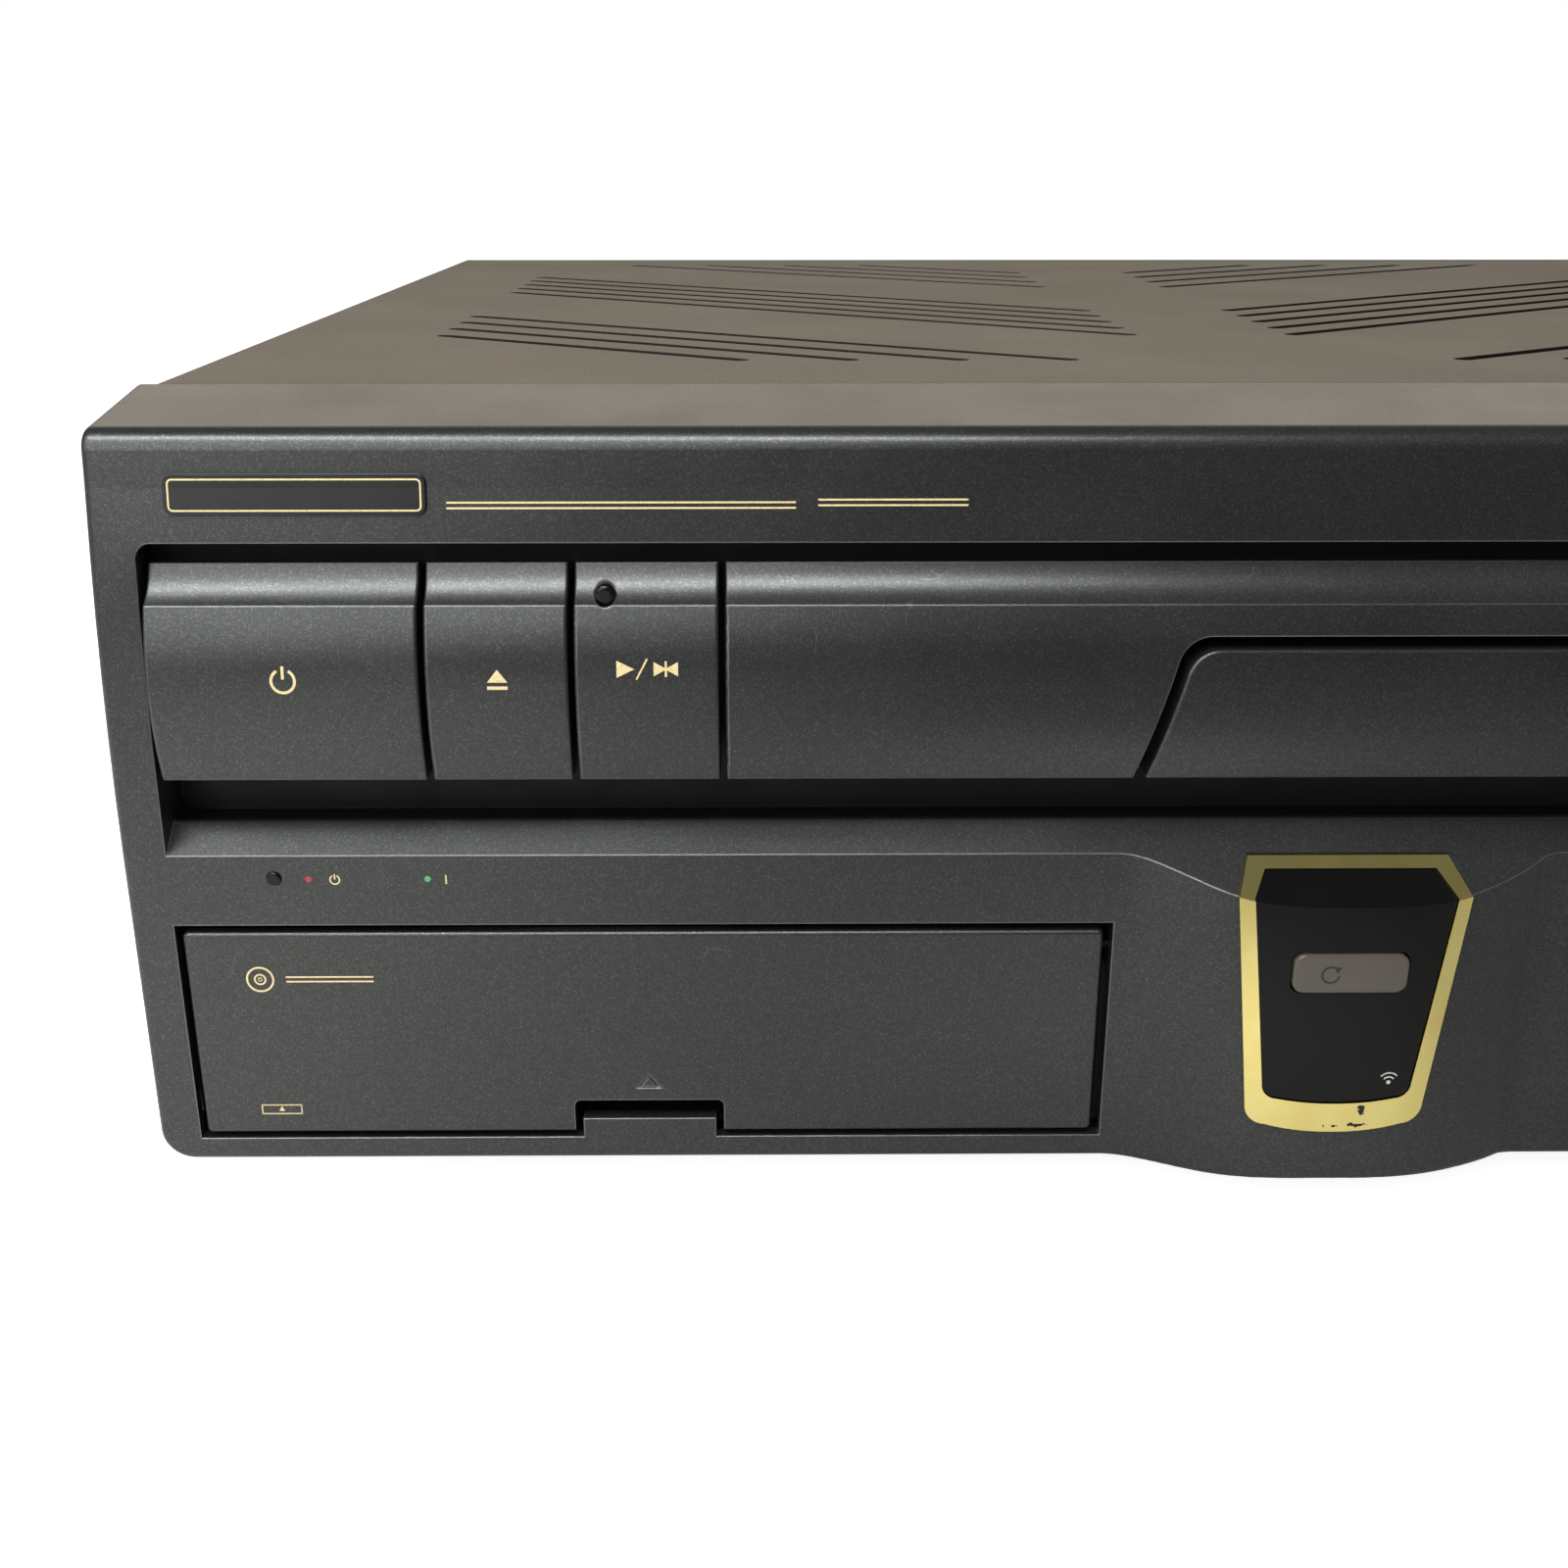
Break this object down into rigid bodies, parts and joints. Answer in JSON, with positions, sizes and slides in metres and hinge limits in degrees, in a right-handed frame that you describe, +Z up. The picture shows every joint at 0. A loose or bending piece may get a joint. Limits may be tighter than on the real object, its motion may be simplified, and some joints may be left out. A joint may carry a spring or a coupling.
{
  "type": "laserdisc player",
  "caption": "Front-loading laserdisc player: a long disc tray with a small-disc drawer in it, keys at its left, a flap over a pack bay, a gold badge nose and a vented cover.",
  "frame": {"origin": "on the table, under the middle of the whole outline", "axes": "+X to the player's right seen from the front, +Y to the rear, +Z up"},
  "size_m": [0.4228, 0.39, 0.145],
  "materials": {
    "charcoal_paint": "dark metallic paint on moulded plastic, fine sparkle",
    "cover_paint": "fine textured dark paint on sheet steel",
    "zinc_sheet": "zinc-plated sheet steel",
    "black_plastic": "matt black moulding",
    "grey_plastic": "dark grey moulding",
    "white_plastic": "natural acetal",
    "foot_rubber": "soft pad",
    "belt_rubber": "matt drive belt",
    "gold_chrome": "bright gold-toned plating",
    "black_acrylic": "polished dark window",
    "reset_plastic": "smoky moulding",
    "lamp_plastic": "dark tinted lens",
    "bright_steel": "bright steel",
    "motor_steel": "drawn steel can",
    "cast_alloy": "die-cast alloy",
    "board_green": "solder-masked board",
    "switch_plastic": "small switch mouldings",
    "tube_glass": "thin flat glass",
    "lens_glass": "small coated lens",
    "iron_core": "varnished laminations",
    "capacitor_sleeve": "shrink sleeve",
    "phono_plating": "plated shell"
  },
  "bodies": {
    "housing": {"front_panel": "charcoal_paint", "top_cover": "cover_paint", "bottom_chassis": "zinc_sheet", "rear_panel": "cover_paint", "case_screws": "bright_steel", "feet": "black_plastic", "foot_pads": "foot_rubber", "standby_lamp_lens": "lamp_plastic", "door_hinge_pins": "bright_steel", "badge_frame": "gold_chrome", "badge_window": "black_acrylic", "display_window": "black_acrylic", "display_tube": "tube_glass", "front_boards": "board_green", "key_switches": "switch_plastic", "pack_bay": "black_plastic", "pack_connector": "grey_plastic", "tray_guides": "white_plastic", "mechanism_deck": "zinc_sheet", "deck_pins": "bright_steel", "loading_motor": "motor_steel", "drive_belt": "belt_rubber", "clamp_bracket": "zinc_sheet", "main_board": "board_green", "power_board": "board_green", "capacitors": "capacitor_sleeve", "heat_sink": "cast_alloy", "transformer": "iron_core", "jack_block": "black_plastic", "phono_jacks": "phono_plating", "svideo_jack": "black_plastic", "mains_inlet": "black_plastic"},
    "ld_tray_body": {"ld_tray": "grey_plastic", "ld_tray_front": "charcoal_paint"},
    "cd_tray_body": {"cd_tray": "grey_plastic", "cd_tray_front": "charcoal_paint"},
    "power_key": {"power_button": "charcoal_paint"},
    "pack_release_key": {"pack_release_button": "charcoal_paint"},
    "play_still_key": {"play_still_button": "charcoal_paint", "play_lamp_lens": "lamp_plastic"},
    "reset_key": {"reset_button": "reset_plastic"},
    "ld_open_key": {"ld_open_button": "charcoal_paint"},
    "cd_open_key": {"cd_open_button": "charcoal_paint"},
    "stop_key": {"stop_button": "charcoal_paint"},
    "port_door": {"pack_port_door": "charcoal_paint"},
    "pinion": {"drive_pinion": "white_plastic"},
    "pulley_gear": {"belt_gear": "white_plastic"},
    "motor_rotor": {"motor_pulley": "white_plastic"},
    "carriage": {"lift_carriage": "zinc_sheet", "guide_rods": "bright_steel", "spindle_motor": "motor_steel", "sled_motor": "motor_steel"},
    "platter": {"turntable": "cast_alloy"},
    "cone": {"disc_cone": "white_plastic"},
    "sled": {"pickup_sled": "cast_alloy"},
    "lens": {"lens_holder": "black_plastic", "pickup_lens": "lens_glass"},
    "screw_shaft": {"lead_screw": "bright_steel"},
    "arm": {"clamp_arm": "zinc_sheet"},
    "puck": {"clamp_puck": "black_plastic"}
  },
  "joints": [
    {"name": "ld_tray_slide", "type": "slide", "parent": "housing", "child": "ld_tray_body", "axis": [0, -1, 0], "range_m": [0, 0.3]},
    {"name": "cd_tray_slide", "type": "slide", "parent": "ld_tray_body", "child": "cd_tray_body", "axis": [0, -1, 0], "range_m": [0, 0.232]},
    {"name": "power_press", "type": "slide", "parent": "housing", "child": "power_key", "axis": [0, 1, 0], "range_m": [0, 0.0015], "stiffness_N_per_m": 800, "springref_m": -0.0012},
    {"name": "pack_release_press", "type": "slide", "parent": "housing", "child": "pack_release_key", "axis": [0, 1, 0], "range_m": [0, 0.0015], "stiffness_N_per_m": 800, "springref_m": -0.0012},
    {"name": "play_still_press", "type": "slide", "parent": "housing", "child": "play_still_key", "axis": [0, 1, 0], "range_m": [0, 0.0015], "stiffness_N_per_m": 800, "springref_m": -0.0012},
    {"name": "reset_press", "type": "slide", "parent": "housing", "child": "reset_key", "axis": [0, 1, 0], "range_m": [0, 0.0008], "stiffness_N_per_m": 800, "springref_m": -0.0012},
    {"name": "ld_open_press", "type": "slide", "parent": "housing", "child": "ld_open_key", "axis": [0, 1, 0], "range_m": [0, 0.0015], "stiffness_N_per_m": 800, "springref_m": -0.0012},
    {"name": "cd_open_press", "type": "slide", "parent": "housing", "child": "cd_open_key", "axis": [0, 1, 0], "range_m": [0, 0.0015], "stiffness_N_per_m": 800, "springref_m": -0.0012},
    {"name": "stop_press", "type": "slide", "parent": "housing", "child": "stop_key", "axis": [0, 1, 0], "range_m": [0, 0.0015], "stiffness_N_per_m": 800, "springref_m": -0.0012},
    {"name": "port_door_hinge", "type": "hinge", "parent": "housing", "child": "port_door", "pos_m": [0, -0.1806, 0.04965], "axis": [-1, 0, 0], "range_deg": [0, 88]},
    {"name": "pinion_spin", "type": "hinge", "parent": "housing", "child": "pinion", "pos_m": [-0.07505, -0.14, 0.08], "axis": [0, 0, 1], "range_deg": [-1147.92, 2]},
    {"name": "belt_gear_spin", "type": "hinge", "parent": "housing", "child": "pulley_gear", "pos_m": [-0.07505, -0.11, 0.075], "axis": [0, 0, 1], "range_deg": [-2, 4585.66]},
    {"name": "motor_spin", "type": "hinge", "parent": "housing", "child": "motor_rotor", "pos_m": [-0.07505, -0.062, 0.075], "axis": [0, 0, 1], "range_deg": [-2, 18336.65]},
    {"name": "carriage_lift", "type": "slide", "parent": "housing", "child": "carriage", "axis": [0, 0, 1], "range_m": [0, 0.014]},
    {"name": "platter_spin", "type": "hinge", "parent": "carriage", "child": "platter", "pos_m": [0.04855, -0.013, 0.0804], "axis": [0, 0, 1], "continuous": true},
    {"name": "cone_sink", "type": "slide", "parent": "platter", "child": "cone", "axis": [0, 0, -1], "range_m": [0, 0.0022], "stiffness_N_per_m": 300, "springref_m": -0.002},
    {"name": "sled_slide", "type": "slide", "parent": "carriage", "child": "sled", "axis": [0, 1, 0], "range_m": [0, 0.113]},
    {"name": "lens_focus", "type": "slide", "parent": "sled", "child": "lens", "axis": [0, 0, 1], "range_m": [-0.0008, 0.0008], "stiffness_N_per_m": 300},
    {"name": "lead_screw_spin", "type": "hinge", "parent": "carriage", "child": "screw_shaft", "pos_m": [0.09055, -0.013, 0.06865], "axis": [0, 1, 0], "range_deg": [-2, 13562]},
    {"name": "clamp_tilt", "type": "hinge", "parent": "housing", "child": "arm", "pos_m": [0.04855, 0.169, 0.1135], "axis": [1, 0, 0], "range_deg": [0, 1.2], "stiffness_Nm_per_rad": 2, "springref_deg": -14.32},
    {"name": "puck_spin", "type": "hinge", "parent": "arm", "child": "puck", "pos_m": [0.04855, -0.013, 0.1135], "axis": [0, 0, 1], "continuous": true}
  ],
  "couplings": [
    {"joint": "pinion_spin", "follows": "ld_tray_slide", "rad_per_m": -66.667},
    {"joint": "belt_gear_spin", "follows": "ld_tray_slide", "rad_per_m": 266.67},
    {"joint": "motor_spin", "follows": "ld_tray_slide", "rad_per_m": 1066.7},
    {"joint": "lead_screw_spin", "follows": "sled_slide", "rad_per_m": 2094.4}
  ]
}
